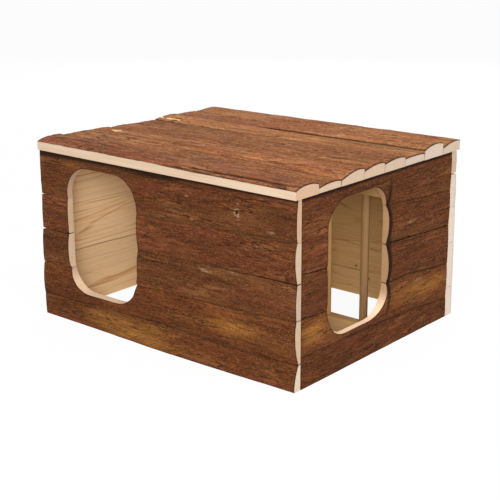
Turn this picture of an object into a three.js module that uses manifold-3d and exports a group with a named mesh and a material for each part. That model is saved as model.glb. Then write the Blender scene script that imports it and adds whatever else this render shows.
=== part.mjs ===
// Rodent house: four walls and a lift-off flat roof of bark slabs, nailed to battens, with no floor.
// A barred rack stands across the inside and parts a front room from a store for hay behind it.
// Millimetres, +X right, +Y to the back, +Z up. The origin lies on the ground under the roof's middle.
import * as THREE from 'three';
import { mergeVertices } from 'three/addons/utils/BufferGeometryUtils.js';
import Module from 'manifold-3d';

const wasm = await Module();
wasm.setup();

// Driving dimensions of the house
const houseLength = 396;
const houseDepth = 316;
const wallHeight = 210;
const slabThickness = 9;
const backSlabThickness = 11;
const seamGap = 0.3;
const fitGap = 0.3;
const cutOverrun = 5;

// Roof: how far it passes the walls, and its thickest slat
const roofFrontOverhang = 2;
const roofBackOverhang = 4;
const roofSideOverhang = 1;
const roofThickness = 17;
const roofEndTrim = 3;

// Doorways: one template, used on the front wall and on the right wall
const doorWidth = 117;
const doorSill = 41;
const doorLintel = 13;
const doorCornerRadius = 36;
const frontDoorMargin = 46;
const rightDoorMargin = 46;

// Battens inside the walls and under the roof
const battenSize = 15;
const rackBattenThickness = 10;
const battenChamfer = 1.2;
const battenFootGap = 3;
const doorBattenMargin = 3;
const roofBattenWidth = 20;
const roofBattenHeight = 12;
const roofBattenClearance = 3;

// Rack: rails, round bars, and how far its middle plane stands from the front wall's bark
const rackDistance = 180;
const rackRailHeight = 18.5;
const rackRailThickness = 15;
const rackBarDiameter = 10;
const rackBarClearance = 0.3;
const rackBarSeat = 9;
const rackBars = 7;
const rackEndMargin = 28.7;

// Bark slabs: how their edges wander, open and wear
const seamWave = 0.5;
const seamWaves = 3;
const openSeam = 2;
const endWane = 1.1;
const endWaneLength = 8;

// How finely round forms are drawn
const slabSpans = 10;
const roundSides = 16;
const cornerSegments = 7;
const archShares = [0, 0.07, 0.2, 0.38, 0.58, 0.78, 0.93, 1];
const archPower = 2.3;

const doorHeight = wallHeight - doorSill - doorLintel;
const roofLength = houseLength + 2 * roofSideOverhang;
const roofDepth = houseDepth + roofFrontOverhang + roofBackOverhang;
const frontInside = roofFrontOverhang + slabThickness - roofDepth / 2;
const backInside = roofDepth / 2 - roofBackOverhang - backSlabThickness;
const sideInside = houseLength / 2 - slabThickness;
const insideDepth = backInside - frontInside;
const battenTop = wallHeight - roofBattenHeight - roofBattenClearance;

// Finishes
const bark = { color: 0x5a3626, roughness: 0.9, metalness: 0 };
const roofBark = { color: 0x7d4c34, roughness: 0.9, metalness: 0 };
const bareWood = { color: 0xdcc09a, roughness: 0.75, metalness: 0 };

const house = new THREE.Group();
house.name = 'rodent_house';

function addPiece(parent, name, geometry, finish) {
  const mesh = new THREE.Mesh(geometry, new THREE.MeshStandardMaterial(finish));
  mesh.name = name;
  parent.add(mesh);
  return mesh;
}

function closedGeometry(positions, faces) {
  const geometry = new THREE.BufferGeometry();
  geometry.setAttribute('position', new THREE.Float32BufferAttribute(positions, 3));
  geometry.setIndex(faces);
  geometry.computeVertexNormals();
  return geometry;
}

function toSolid(geometry) {
  const bare = geometry.clone();
  bare.deleteAttribute('normal');
  bare.deleteAttribute('uv');
  const merged = mergeVertices(bare);
  const vertProperties = new Float32Array(merged.attributes.position.array);
  const triVerts = new Uint32Array(merged.index.array);
  return new wasm.Manifold(new wasm.Mesh({ numProp: 3, vertProperties, triVerts }));
}

function cutAway(geometry, tools) {
  const cut = tools.reduce((rest, tool) => rest.subtract(toSolid(tool)), toSolid(geometry));
  const mesh = cut.getMesh();
  return closedGeometry(Array.from(mesh.vertProperties), Array.from(mesh.triVerts));
}

// A value that runs smoothly through evenly spaced entries, drawn straight between the slab's stations,
// so that neighbours with different ends still share one seam.
function alongSlab(entries, share) {
  const curve = new THREE.SplineCurve(entries.map((entry, i) => new THREE.Vector2(i, entry)));
  const station = Math.min(Math.floor(share * slabSpans), slabSpans - 1);
  const near = curve.getPoint(station / slabSpans).y;
  const far = curve.getPoint((station + 1) / slabSpans).y;
  return THREE.MathUtils.lerp(near, far, share * slabSpans - station);
}

// Height of the bark side over the flat side, across one slab: straight edges and a rounded crown.
function archHeight(section, thickness, along, across) {
  const [lower, crown, upper] = [section.lowerShares, section.crownShares, section.upperShares].map(
    (shares) => thickness * alongSlab(shares, along),
  );
  const lean = Math.log(0.5) / Math.log(section.crownPlaceShare);
  const middle = THREE.MathUtils.lerp(lower, upper, section.crownPlaceShare);
  const rise = 1 - Math.abs(2 * across ** lean - 1) ** archPower;
  return THREE.MathUtils.lerp(lower, upper, across) + (crown - middle) * rise;
}

// A slab sawn off the outside of a log and laid along X: flat face on the XZ plane, bark towards -Y.
// Its edges follow the seams below and above it. Each end's corners are worn in by a share of the wane.
function barkSlab({ length, from, to, lower, upper, section, thickness, wornLower, wornUpper }) {
  const grid = Array.from({ length: slabSpans + 1 }, (_, i) => (i / slabSpans - 0.5) * length);
  const [first, last] = [from + endWaneLength, to - endWaneLength];
  const stations = [from, first, ...grid.filter((x) => x > first && x < last), last, to];
  const positions = [];
  stations.forEach((x) => {
    const along = x / length + 0.5;
    const wane = ([left, right]) => endWane * (x === from ? left : x === to ? right : 0);
    const low = lower(along) + wane(wornLower);
    const high = upper(along) - wane(wornUpper);
    positions.push(x, 0, low);
    archShares.forEach((across) => {
      const height = archHeight(section, thickness, along, across);
      positions.push(x, -height, THREE.MathUtils.lerp(low, high, across));
    });
    positions.push(x, 0, high);
  });

  const ring = archShares.length + 2;
  const faces = [];
  for (let i = 0; i + 1 < stations.length; i += 1) {
    for (let j = 0; j < ring; j += 1) {
      const [a, b] = [i * ring + j, i * ring + ((j + 1) % ring)];
      faces.push(a, a + ring, b + ring, a, b + ring, b);
    }
  }
  const end = (stations.length - 1) * ring;
  for (let j = 1; j + 1 < ring; j += 1) {
    faces.push(0, j, j + 1, end, end + j + 1, end + j);
  }
  return closedGeometry(positions, faces);
}

// The doorway's template: a tall opening with round corners, standing on the sill, cut straight through.
function doorTemplate(centre) {
  const [left, right] = [centre - doorWidth / 2, centre + doorWidth / 2];
  const [sill, top] = [doorSill, doorSill + doorHeight];
  const radius = Math.min(doorCornerRadius, doorWidth / 2, doorHeight / 2);
  const outline = new THREE.Shape();
  outline.moveTo(left + radius, sill);
  outline.absarc(right - radius, sill + radius, radius, -Math.PI / 2, 0);
  outline.absarc(right - radius, top - radius, radius, 0, Math.PI / 2);
  outline.absarc(left + radius, top - radius, radius, Math.PI / 2, Math.PI);
  outline.absarc(left + radius, sill + radius, radius, Math.PI, 1.5 * Math.PI);
  const depth = 2 * slabThickness + cutOverrun;
  const drawn = { depth, bevelEnabled: false, curveSegments: cornerSegments };
  const template = new THREE.ExtrudeGeometry(outline, drawn);
  return template.rotateX(Math.PI / 2).translate(0, cutOverrun, 0);
}

// Seams of a wall from its left end to its right end, seen from outside. One under the sill is given in
// shares of the sill's height, so that it stays under the doorway, the others in shares of the doorway's.
function seamHeight(wall, seam, along) {
  const share = alongSlab(wall.seamShares[seam], along);
  const wave = seamWave * alongSlab(waveShares(seam), along);
  return (seam < wall.sillSeams ? doorSill * share : doorSill + doorHeight * share) + wave;
}

// Half the gap of a seam. Most are tight, and a few have opened.
function halfGap(wall, seam, along) {
  const opened = wall.openShares[seam];
  return (seamGap + (opened ? openSeam * alongSlab(opened, along) : 0)) / 2;
}

function waveShares(seam) {
  return Array.from({ length: slabSpans + 1 }, (_, i) => {
    return Math.sin(seam + (2 * Math.PI * seamWaves * i) / slabSpans);
  });
}

// Sections of the slabs as shares of their thickness, from the ground up: at the lower edge, the crown and
// the upper edge, evenly spaced from the left end to the right end. The lowest slabs stand on a square edge.
// The front wall's low slabs swell, and so do the back wall's at their right end. The right wall's slabs are
// worn to round backs only beside the rear edge of its doorway.
const frontSections = [
  {
    lowerShares: [1.29, 1.37, 1.61, 1.44, 1.15],
    crownShares: [1.37, 1.39, 1.61, 1.46, 1.1],
    upperShares: [1.37, 1, 0.88, 0.69, 0.46],
    crownPlaceShare: 0.4,
  },
  {
    lowerShares: [1.39, 0.94, 0.82, 0.63, 0.46],
    crownShares: [1.51, 1.29, 1.18, 1.12, 1.1],
    upperShares: [1.24, 0.35, 0.66, 0.76, 0.88],
    crownPlaceShare: 0.52,
  },
  {
    lowerShares: [1.24, 0.5, 0.88, 0.88, 0.88],
    crownShares: [1.35, 1.14, 1.1, 1, 0.98],
    upperShares: [1.15, 0.76, 0.76, 0.73, 0.73],
    crownPlaceShare: 0.46,
  },
  {
    lowerShares: [1.1, 0.8, 0.8, 0.8, 0.78],
    crownShares: [1.12, 0.96, 1.05, 1.12, 1.18],
    upperShares: [0.98, 0.82, 0.82, 0.83, 0.83],
    crownPlaceShare: 0.56,
  },
  {
    lowerShares: [0.95, 0.78, 0.76, 0.76, 0.76],
    crownShares: [1.06, 0.88, 0.9, 0.94, 0.95],
    upperShares: [0.98, 0.82, 0.76, 0.71, 0.68],
    crownPlaceShare: 0.42,
  },
];
const rightSections = [
  {
    lowerShares: [1.05, 1.05, 1.02, 1.02, 1.02],
    crownShares: [1.07, 1.1, 1.07, 1.05, 1.02],
    upperShares: [0.98, 0.88, 0.76, 0.83, 0.95],
    crownPlaceShare: 0.4,
  },
  {
    lowerShares: [0.95, 0.88, 0.66, 0.8, 0.94],
    crownShares: [1.07, 1.12, 1.21, 1.12, 1.02],
    upperShares: [1.05, 0.98, 0.8, 0.82, 0.93],
    crownPlaceShare: 0.6,
  },
  {
    lowerShares: [1.05, 0.98, 0.8, 0.82, 0.93],
    crownShares: [1.11, 1.12, 1.19, 1.1, 1.01],
    upperShares: [1.05, 0.94, 0.6, 0.76, 0.9],
    crownPlaceShare: 0.5,
  },
  {
    lowerShares: [1.05, 0.94, 0.58, 0.76, 0.9],
    crownShares: [1.1, 1.07, 1.07, 1.04, 1],
    upperShares: [1.02, 0.88, 0.54, 0.74, 0.93],
    crownPlaceShare: 0.55,
  },
  {
    lowerShares: [1, 0.85, 0.52, 0.72, 0.93],
    crownShares: [1.05, 1.02, 0.98, 1.01, 1.02],
    upperShares: [0.88, 0.85, 0.8, 0.88, 0.95],
    crownPlaceShare: 0.58,
  },
];
const backSections = [
  { lowerShares: [1.22, 1], crownShares: [1.25, 1], upperShares: [1.18, 0.66], crownPlaceShare: 0.4 },
  { lowerShares: [1.17, 0.66], crownShares: [1.22, 0.98], upperShares: [1.12, 0.62], crownPlaceShare: 0.46 },
  { lowerShares: [1.1, 0.6], crownShares: [1.15, 1], upperShares: [1.05, 0.7], crownPlaceShare: 0.54 },
  { lowerShares: [1.04, 0.7], crownShares: [1.1, 1], upperShares: [0.96, 0.6], crownPlaceShare: 0.5 },
  { lowerShares: [0.9, 0.62], crownShares: [0.97, 0.97], upperShares: [0.86, 0.7], crownPlaceShare: 0.45 },
];
const leftSections = [
  { lowerShares: [1, 1], crownShares: [1, 0.98], upperShares: [0.58, 0.68], crownPlaceShare: 0.42 },
  { lowerShares: [0.58, 0.66], crownShares: [1, 1], upperShares: [0.54, 0.63], crownPlaceShare: 0.52 },
  { lowerShares: [0.61, 0.68], crownShares: [0.88, 0.93], upperShares: [0.63, 0.71], crownPlaceShare: 0.5 },
  { lowerShares: [0.56, 0.63], crownShares: [1, 0.98], upperShares: [0.68, 0.76], crownPlaceShare: 0.48 },
];

// The four walls. The front and back walls run the whole length, and the side walls fit between them.
// Shares of the widest open gap, and of the ends' wane, are listed by seam from the ground up.
const walls = [
  {
    name: 'front',
    length: houseLength,
    turn: 0,
    place: [0, frontInside],
    doorCentre: frontDoorMargin + doorWidth / 2 - houseLength / 2,
    halves: ['left', 'right'],
    sections: frontSections,
    thickness: slabThickness,
    sillSeams: 1,
    seamShares: [
      [0.68, 0.66, 0.76, 0.66, 0.73],
      [0.17, 0.186, 0.201, 0.207, 0.244],
      [0.449, 0.465, 0.471, 0.49, 0.5],
      [0.731, 0.74, 0.736, 0.76, 0.788],
    ],
    openShares: [],
    waneShares: [[0.1, 0.2], [0.2, 0.1], [1, 0.1], [0.6, 0.1]],
  },
  {
    name: 'right',
    length: insideDepth - 2 * fitGap,
    turn: Math.PI / 2,
    place: [sideInside, (frontInside + backInside) / 2],
    doorCentre: rightDoorMargin + doorWidth / 2 - insideDepth / 2,
    halves: ['front', 'rear'],
    sections: rightSections,
    thickness: slabThickness,
    sillSeams: 1,
    seamShares: [
      [0.88, 0.86, 0.79, 0.71, 0.61],
      [0.25, 0.218, 0.234, 0.224, 0.173],
      [0.564, 0.526, 0.532, 0.519, 0.494],
      [0.827, 0.846, 0.827, 0.801, 0.776],
    ],
    openShares: [],
    waneShares: [[0.1, 0.1], [0.1, 0.1], [0.1, 0.1], [0.1, 0.1]],
  },
  {
    name: 'back',
    length: houseLength,
    turn: Math.PI,
    place: [0, backInside],
    sections: backSections,
    thickness: backSlabThickness,
    sillSeams: 1,
    seamShares: [
      [0.9, 0.85, 0.81, 0.8, 0.8],
      [0.342, 0.235, 0.16, 0.147, 0.154],
      [0.633, 0.63, 0.594, 0.545, 0.51],
      [0.903, 0.88, 0.853, 0.827, 0.814],
    ],
    openShares: [undefined, undefined, [0, 0.3, 0.35, 0.15, 0], [0.85, 0.2, 0, 0, 0]],
    waneShares: [[0.1, 0.3], [0.1, 0.6], [0.1, 0.2], [0.1, 0.4]],
  },
  {
    name: 'left',
    length: insideDepth - 2 * fitGap,
    turn: -Math.PI / 2,
    place: [-sideInside, (frontInside + backInside) / 2],
    sections: leftSections,
    thickness: slabThickness,
    sillSeams: 0,
    seamShares: [
      [0.186, 0.192, 0.196, 0.208, 0.215],
      [0.565, 0.575, 0.584, 0.597, 0.612],
      [0.79, 0.787, 0.784, 0.78, 0.768],
    ],
    openShares: [],
    waneShares: [[0.1, 0.1], [0.1, 0.1], [0.1, 0.1]],
  },
];

// Each wall is four or five slabs from the ground up. A doorway cuts the third and fourth slabs in two.
const unworn = [0, 0];
walls.forEach((wall) => {
  const group = new THREE.Group();
  group.position.set(wall.place[0], wall.place[1], 0);
  group.rotation.z = wall.turn;
  house.add(group);
  wall.sections.forEach((section, row) => {
    const isBottom = row === 0;
    const isTop = row === wall.sections.length - 1;
    const below = row - 1;
    const shape = {
      length: wall.length,
      lower: (along) => (isBottom ? 0 : seamHeight(wall, below, along) + halfGap(wall, below, along)),
      upper: (along) => (isTop ? wallHeight : seamHeight(wall, row, along) - halfGap(wall, row, along)),
      section,
      thickness: wall.thickness,
      wornLower: isBottom ? unworn : wall.waneShares[below],
      wornUpper: isTop ? unworn : wall.waneShares[row],
    };
    const [from, to] = [-wall.length / 2, wall.length / 2];
    const name = `${wall.name}_slab_${row + 1}`;
    if (wall.doorCentre === undefined || isBottom) {
      addPiece(group, name, barkSlab({ ...shape, from, to }), bark);
    } else if (isTop || row === 1) {
      const slab = barkSlab({ ...shape, from, to });
      addPiece(group, name, cutAway(slab, [doorTemplate(wall.doorCentre)]), bark);
    } else {
      const spans = [[from, wall.doorCentre], [wall.doorCentre, to]];
      spans.forEach(([start, stop], half) => {
        const slab = barkSlab({ ...shape, from: start, to: stop });
        const cut = cutAway(slab, [doorTemplate(wall.doorCentre)]);
        addPiece(group, `${name}_${wall.halves[half]}`, cut, bark);
      });
    }
  });
});

// A planed batten of softwood, standing on Z from zero, with its four long edges eased.
function batten(width, depth, length) {
  const [x, y, ease] = [width / 2, depth / 2, Math.min(battenChamfer, width / 4, depth / 4)];
  const section = new THREE.Shape();
  section.moveTo(x - ease, -y);
  section.lineTo(x, ease - y);
  section.lineTo(x, y - ease);
  section.lineTo(x - ease, y);
  section.lineTo(ease - x, y);
  section.lineTo(-x, y - ease);
  section.lineTo(-x, ease - y);
  section.lineTo(ease - x, -y);
  section.closePath();
  return new THREE.ExtrudeGeometry(section, { depth: length, bevelEnabled: false });
}

// Upright battens nailed to the walls' flat faces. Corner battens tie two walls, the others tie the
// slabs of one wall: beside the front doorway, on the back wall's middle, and behind the rack's ends.
const uprightLength = battenTop - battenFootGap;
const besideWall = battenSize / 2 + fitGap;
const besideEnd = rackBattenThickness / 2 + fitGap;
const rackMiddle = frontInside - slabThickness + rackDistance;
const rackBack = rackMiddle + rackRailThickness / 2;
const frontDoorRight = frontDoorMargin + doorWidth - houseLength / 2;
const uprights = {
  corner_batten_front_left: [besideWall - sideInside, frontInside + besideWall],
  corner_batten_front_right: [sideInside - besideWall, frontInside + besideWall],
  corner_batten_back_left: [besideWall - sideInside, backInside - besideWall],
  corner_batten_back_right: [sideInside - besideWall, backInside - besideWall],
  door_batten_front: [frontDoorRight + doorBattenMargin + battenSize / 2, frontInside + besideWall],
  middle_batten_back: [0, backInside - besideWall],
};
Object.entries(uprights).forEach(([name, [x, y]]) => {
  const piece = addPiece(house, name, batten(battenSize, battenSize, uprightLength), bareWood);
  piece.position.set(x, y, battenFootGap);
});
const rackUprights = { left: besideEnd - sideInside, right: sideInside - besideEnd };
Object.entries(rackUprights).forEach(([side, x]) => {
  const upright = batten(rackBattenThickness, battenSize, uprightLength);
  const piece = addPiece(house, `rack_batten_${side}`, upright, bareWood);
  piece.position.set(x, rackBack + besideWall, battenFootGap);
});

// Rack: two rails from side wall to side wall, in front of the rack battens, and round bars whose
// ends stand in blind holes in the rails.
const railLength = 2 * (sideInside - fitGap);
const barReach = railLength / 2 - rackEndMargin;
const barPitch = (2 * barReach) / (rackBars - 1);
const topRailUnderside = battenTop - rackRailHeight;
const barPlaces = Array.from({ length: rackBars }, (_, i) => i * barPitch - barReach);

function rackRail(holeMiddle) {
  const rail = batten(rackRailHeight, rackRailThickness, railLength);
  rail.rotateY(Math.PI / 2).translate(-railLength / 2, 0, rackRailHeight / 2);
  const holeRadius = rackBarDiameter / 2 + rackBarClearance;
  const holes = barPlaces.map((x) => {
    const hole = new THREE.CylinderGeometry(holeRadius, holeRadius, 2 * rackBarSeat, roundSides);
    return hole.rotateX(Math.PI / 2).translate(x, 0, holeMiddle);
  });
  return cutAway(rail, holes);
}

const rack = new THREE.Group();
rack.position.y = rackMiddle;
house.add(rack);
addPiece(rack, 'rack_rail_bottom', rackRail(rackRailHeight), bareWood);
addPiece(rack, 'rack_rail_top', rackRail(0), bareWood).position.z = topRailUnderside;
const barFoot = rackRailHeight - rackBarSeat + fitGap;
const barLength = topRailUnderside + rackBarSeat - fitGap - barFoot;
barPlaces.forEach((x, i) => {
  const bar = new THREE.CylinderGeometry(rackBarDiameter / 2, rackBarDiameter / 2, barLength, roundSides);
  bar.rotateX(Math.PI / 2);
  addPiece(rack, `rack_bar_${i + 1}`, bar, bareWood).position.set(x, 0, barFoot + barLength / 2);
});

// Roof: eight slats laid along X, bark up, each thin at its front edge and thick behind, so that the
// ends step like shingles. Seams and sections are shares of the roof's depth and thickness.
const roofSeamShares = [
  [0.118, 0.123, 0.12],
  [0.25, 0.246, 0.244],
  [0.37, 0.378, 0.375],
  [0.505, 0.497, 0.498],
  [0.622, 0.63, 0.628],
  [0.75, 0.748, 0.754],
  [0.874, 0.872, 0.88],
];
const roofSections = [
  { lowerShares: [0.64, 0.62], crownShares: [0.88, 0.86], upperShares: [0.83, 0.68], crownPlaceShare: 0.5 },
  { lowerShares: [0.76, 0.39], crownShares: [0.78, 0.55], upperShares: [0.75, 0.46], crownPlaceShare: 0.58 },
  { lowerShares: [0.7, 0.46], crownShares: [0.7, 0.82], upperShares: [0.64, 0.77], crownPlaceShare: 0.6 },
  { lowerShares: [0.63, 0.57], crownShares: [0.62, 0.81], upperShares: [0.57, 0.74], crownPlaceShare: 0.6 },
  { lowerShares: [0.53, 0.62], crownShares: [0.52, 0.8], upperShares: [0.49, 0.69], crownPlaceShare: 0.58 },
  { lowerShares: [0.5, 0.53], crownShares: [0.68, 0.6], upperShares: [0.66, 0.54], crownPlaceShare: 0.45 },
  { lowerShares: [0.6, 0.72], crownShares: [0.57, 1], upperShares: [0.55, 0.85], crownPlaceShare: 0.55 },
  { lowerShares: [0.5, 0.52], crownShares: [0.58, 0.79], upperShares: [0.57, 0.72], crownPlaceShare: 0.6 },
];
const leftTrimShares = [0.1, 0.6, 0, 0.9, 0.3, 1, 0.2, 0.7];
const rightTrimShares = [0, 0.2, 0, 0.1, 0.1, 0.2, 0, 0];

const roof = new THREE.Group();
roof.position.set(0, -roofDepth / 2, wallHeight + fitGap);
roof.rotation.x = -Math.PI / 2;
house.add(roof);
roofSections.forEach((section, i) => {
  const seamBefore = roofSeamShares[i - 1];
  const seamAfter = roofSeamShares[i];
  const slat = barkSlab({
    length: roofLength,
    from: -roofLength / 2 + roofEndTrim * leftTrimShares[i],
    to: roofLength / 2 - roofEndTrim * rightTrimShares[i],
    lower: (along) => (seamBefore ? roofDepth * alongSlab(seamBefore, along) + seamGap / 2 : 0),
    upper: (along) => (seamAfter ? roofDepth * alongSlab(seamAfter, along) - seamGap / 2 : roofDepth),
    section,
    thickness: roofThickness,
    wornLower: unworn,
    wornUpper: unworn,
  });
  addPiece(roof, `roof_slat_${i + 1}`, slat, roofBark);
});

// Three battens nailed across the slats from below. They drop inside the walls and keep the roof there.
const roofBattenLength = insideDepth - 2 * roofBattenClearance;
const roofBattenReach = sideInside - roofBattenClearance - roofBattenWidth / 2;
const roofBattens = { left: -roofBattenReach, middle: 0, right: roofBattenReach };
Object.entries(roofBattens).forEach(([side, x]) => {
  const piece = batten(roofBattenWidth, roofBattenHeight, roofBattenLength);
  piece.rotateX(-Math.PI / 2).translate(x, frontInside + roofBattenClearance, 0);
  addPiece(house, `roof_batten_${side}`, piece, bareWood).position.z = wallHeight - roofBattenHeight / 2;
});

export default house;
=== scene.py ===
import math

import bpy
import numpy as np
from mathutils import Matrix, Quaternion, Vector
from mathutils.bvhtree import BVHTree


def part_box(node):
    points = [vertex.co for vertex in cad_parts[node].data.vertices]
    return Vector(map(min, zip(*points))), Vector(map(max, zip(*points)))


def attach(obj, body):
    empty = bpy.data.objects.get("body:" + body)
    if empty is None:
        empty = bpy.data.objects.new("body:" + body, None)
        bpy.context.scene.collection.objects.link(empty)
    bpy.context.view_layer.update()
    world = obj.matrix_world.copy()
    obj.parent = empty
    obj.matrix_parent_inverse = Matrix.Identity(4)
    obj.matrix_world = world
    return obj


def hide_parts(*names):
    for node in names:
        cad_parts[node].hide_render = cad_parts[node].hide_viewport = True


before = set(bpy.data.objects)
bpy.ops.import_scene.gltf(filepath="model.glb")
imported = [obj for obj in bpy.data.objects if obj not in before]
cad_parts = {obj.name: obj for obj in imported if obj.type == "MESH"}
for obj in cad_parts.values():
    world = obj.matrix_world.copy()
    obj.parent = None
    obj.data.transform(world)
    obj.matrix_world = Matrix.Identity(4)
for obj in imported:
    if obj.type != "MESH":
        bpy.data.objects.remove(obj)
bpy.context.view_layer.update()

# Wall slabs. Each wall is four or five slabs sawn off the outside of thin logs, 9 to 11 mm thick, laid on
# their sides with the bark out and the flat sawn face in. Their edges butt on each other, worn at the ends.
walls = {
    "front": (Vector((1, 0, 0)), Vector((0, -1, 0))),
    "right": (Vector((0, 1, 0)), Vector((1, 0, 0))),
    "back": (Vector((-1, 0, 0)), Vector((0, 1, 0))),
    "left": (Vector((0, -1, 0)), Vector((-1, 0, 0))),
}
station_pitch = 0.0020
end_margin, share_margin = 0.00004, 0.004
edge_probe = 0.002
clearance_of_rays = 1
rows_across = 36
row_crowding = 0.085
passes_along, passes_across = 10, 3
past_the_cut = 0.004


def solid_tree(name):
    """The faces of a solid, for casting rays at."""
    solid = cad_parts[name].data
    return BVHTree.FromPolygons([v.co for v in solid.vertices], [p.vertices for p in solid.polygons])


def fill_gaps(values):
    """Where the solid is cut away, a reading lies between the nearest ones that could be made."""
    known = ~np.isnan(values)
    places = np.arange(len(values))
    return np.interp(places, places[known], values[known])


def rub_down(values, passes):
    """Rounds off the flat facets of the solid along the first axis, and keeps its first and last rows."""
    values = values.copy()
    for _ in range(passes):
        values[1:-1] = (values[:-2] + 2 * values[1:-1] + values[2:]) / 4
    return values


def survey_slab(name, along, out, doorway=None):
    """Reads a slab's edges, and the height of its bark over the sawn face, off its solid.

    doorway is the reach of a doorway along the wall and in height. Nothing is read there, but carried on, and
    a slab that ends at the doorway is made a little longer, so that the doorway can be sawn through it.
    """
    across = out.cross(along)
    tree = solid_tree(name)
    corners = np.array([v.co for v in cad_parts[name].data.vertices])
    spreads = [corners @ np.array(axis) for axis in (along, across, out)]
    (start, end), (lowest, highest), (flat, crown) = ((spread.min(), spread.max()) for spread in spreads)
    count = round((end - start) / station_pitch)
    stations = np.linspace(start, end, count + 1)
    readable = np.clip(stations, start + end_margin, end - end_margin)

    def depth_to(s, h, o, direction):
        struck = tree.ray_cast(along * s + across * h + out * o, direction)[3]
        return np.nan if struck is None else struck

    probe_plane = flat + edge_probe
    below, above, outside = lowest - clearance_of_rays, highest + clearance_of_rays, crown + clearance_of_rays
    low = below + np.array([depth_to(s, below, probe_plane, across) for s in readable])
    high = above - np.array([depth_to(s, above, probe_plane, -across) for s in readable])
    ends_at_doorway = doorway is not None and end < doorway[1]
    starts_at_doorway = doorway is not None and start > doorway[0]
    if doorway is not None:
        passed = (readable > doorway[0]) & (readable < doorway[1])
        cut_away = passed & (ends_at_doorway or starts_at_doorway)
        low[cut_away | passed & (low > doorway[2])] = np.nan
        high[cut_away | passed & (high < doorway[3])] = np.nan
    low, high = fill_gaps(low), fill_gaps(high)
    shares = np.linspace(0, 1, rows_across + 1)
    shares = shares - row_crowding * np.sin(2 * math.pi * shares)
    bark = np.empty((count + 1, rows_across + 1))
    for i, s in enumerate(readable):
        for j, share in enumerate(np.clip(shares, share_margin, 1 - share_margin)):
            bark[i, j] = outside - flat - depth_to(s, low[i] + (high[i] - low[i]) * share, outside, -out)
    bark = np.apply_along_axis(fill_gaps, 0, bark)
    bark = rub_down(rub_down(bark, passes_along).T, passes_across).T
    stations[-1] += past_the_cut * ends_at_doorway
    stations[0] -= past_the_cut * starts_at_doorway
    return {
        "along": along, "across": across, "out": out, "flat": flat,
        "stations": stations, "shares": shares, "low": low, "high": high, "bark": bark,
    }


lattice_size = (61, 53)
deepest_wear = 0.65


def grown(x, y, seed):
    """Smooth growth between 0 and 1, the same at each run: x and y are counted in sizes of its lumps."""
    lattice = np.random.default_rng(seed).random(lattice_size)
    i, j = np.floor(x).astype(int), np.floor(y).astype(int)
    u, v = x - i, y - j
    u, v = u * u * (3 - 2 * u), v * v * (3 - 2 * v)
    rows, columns = lattice.shape
    corner = [[lattice[(i + a) % rows, (j + b) % columns] for b in (0, 1)] for a in (0, 1)]
    near, far = (left * (1 - v) + right * v for left, right in corner)
    return near * (1 - u) + far * u


def bark_wear(s, h, seed):
    """How deep the surface lies under the bark's highest places, as a share of the bark's thickness.

    Ropes of bark run along the slab, scales lie on them, and long splits open here and there. Their lengths
    and widths are in millimetres.
    """
    x, y = s * 1000, h * 1000
    wander = 5 * grown(x / 46, y / 14, seed) + 2 * grown(x / 17, y / 6, seed + 1)
    ropes = np.abs(2 * grown(x / 42, (y + wander) / 3.4, seed + 2) - 1)
    scales = grown(x / 16, (y + wander) / 6.5, seed + 3)
    splits = np.clip(1 - np.abs(grown(x / 60, (y + wander) / 8.5, seed + 4) - 0.5) / 0.035, 0, 1)
    open_split = splits * np.clip(grown(x / 30, y / 11, seed + 5) * 2.4 - 1.1, 0, 1)
    return np.minimum(0.42 * ropes ** 2 + 0.42 * scales + 0.7 * open_split, deepest_wear)


def chipped(s, h, chips, seed):
    """Where the bark has come off down to the wood, as shares of the whole depth, with torn outlines."""
    bare = np.zeros_like(s)
    for chip_s, chip_h, half_length, half_width in chips:
        torn = 0.9 * grown(s * 1000 / 5, h * 1000 / 1.7, seed + 6) + 0.55
        away = np.hypot((s - chip_s) / half_length, (h - chip_h) / half_width)
        bare = np.maximum(bare, np.clip((torn - away) * 4, 0, 1))
    return bare


def seam_state(s, low, high, h, survey, log):
    """How open the nearer seam is, and how dark with painted shade and dirt, given at each end and the middle
    of the slab.
    """
    stations = survey["stations"]
    places = [stations[0], (stations[0] + stations[-1]) / 2, stations[-1]]
    at_low, at_high = (np.interp(s, places, log[edge]) for edge in ("low_shade_and_dirt", "high_shade_and_dirt"))
    return np.where(h - low < high - h, at_low, at_high)


wall_bark_thickness = 0.0007
chip_below_bark = 0.0005
seam_round, seam_break, seam_squeeze = 0.0006, 0.0004, 0.00014
seam_row = 5
inner_corner_angle = math.radians(38)
far_off = 1.0


def way_to_seam(h, low, high, log):
    """The way to the nearer edge that butts on another slab."""
    to_low = np.where(log["low_seam"], h - low, far_off)
    to_high = np.where(log["high_seam"], high - h, far_off)
    return np.minimum(to_low, to_high)


def new_piece(name, points, faces):
    """A mesh of these points and faces, put in the scene."""
    mesh = bpy.data.meshes.new(name)
    mesh.from_pydata(points, [], faces)
    piece = bpy.data.objects.new(name, mesh)
    bpy.context.scene.collection.objects.link(piece)
    return piece


def shade_round(mesh):
    """Shades a mesh smooth, except over its corners."""
    mesh.polygons.foreach_set("use_smooth", [True] * len(mesh.polygons))
    mesh.set_sharp_from_angle(angle=inner_corner_angle)


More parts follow.
